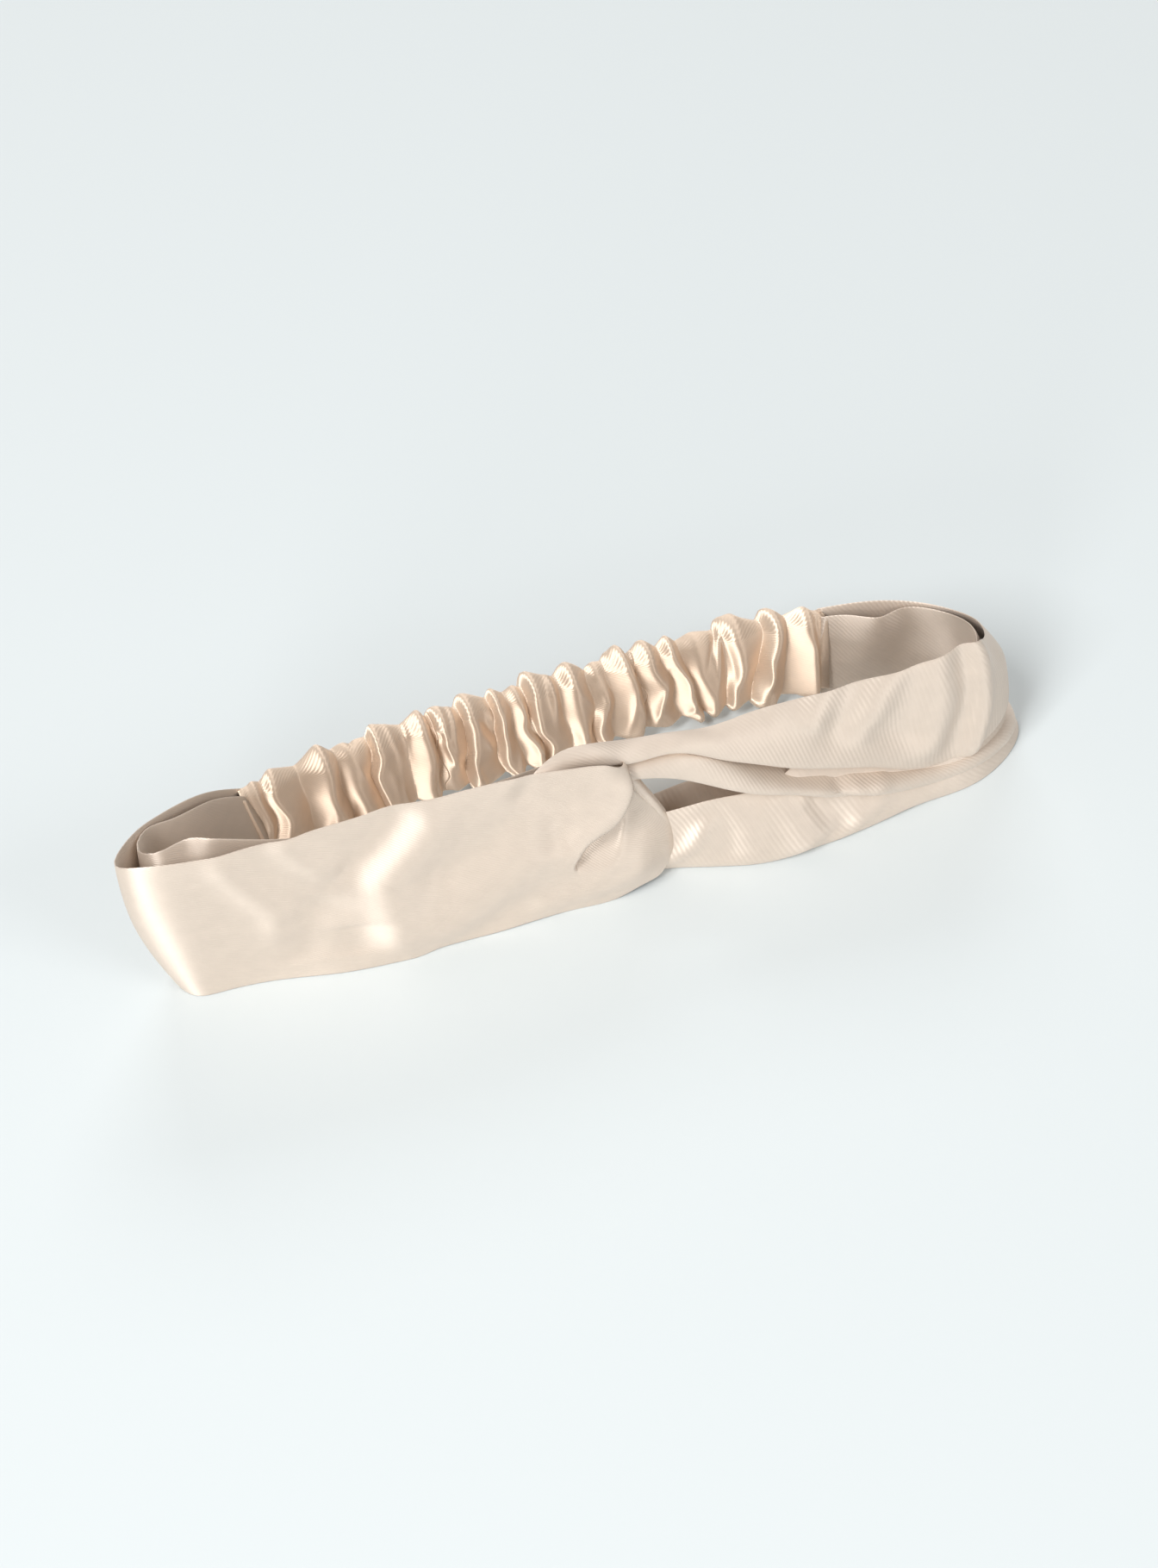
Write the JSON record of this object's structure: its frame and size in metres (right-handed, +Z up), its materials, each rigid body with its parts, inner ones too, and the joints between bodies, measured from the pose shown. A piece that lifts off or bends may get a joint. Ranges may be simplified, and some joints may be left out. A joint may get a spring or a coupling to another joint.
{
  "type": "knotted headband",
  "caption": "Soft satin headband: two flat fabric strips looped through each other at the front, sewn to a ruched elastic casing at the back. It stretches to go round a head.",
  "frame": {"origin": "middle of the base, on the surface that the headband stands on", "axes": "+X along the flattened loop, towards the end with two open arms; -Y towards the knot; +Z up, across the width of the band"},
  "size_m": [0.2409, 0.0602, 0.0521],
  "materials": {
    "satin": "satin",
    "thread": "satin",
    "elastic": "matte"
  },
  "bodies": {
    "front": {"left_strip": "satin", "right_strip": "satin", "left_strip_seam": "thread", "right_strip_seam": "thread", "left_join_stitches": "thread", "right_join_stitches": "thread"},
    "back": {"back_casing": "satin", "elastic_band": "elastic", "casing_seam": "thread", "left_elastic_tack": "thread", "right_elastic_tack": "thread"}
  },
  "joints": [
    {"name": "back_stretch", "type": "slide", "parent": "front", "child": "back", "axis": [0, 1, 0], "range_m": [0, 0.045], "stiffness_N_per_m": 60}
  ]
}
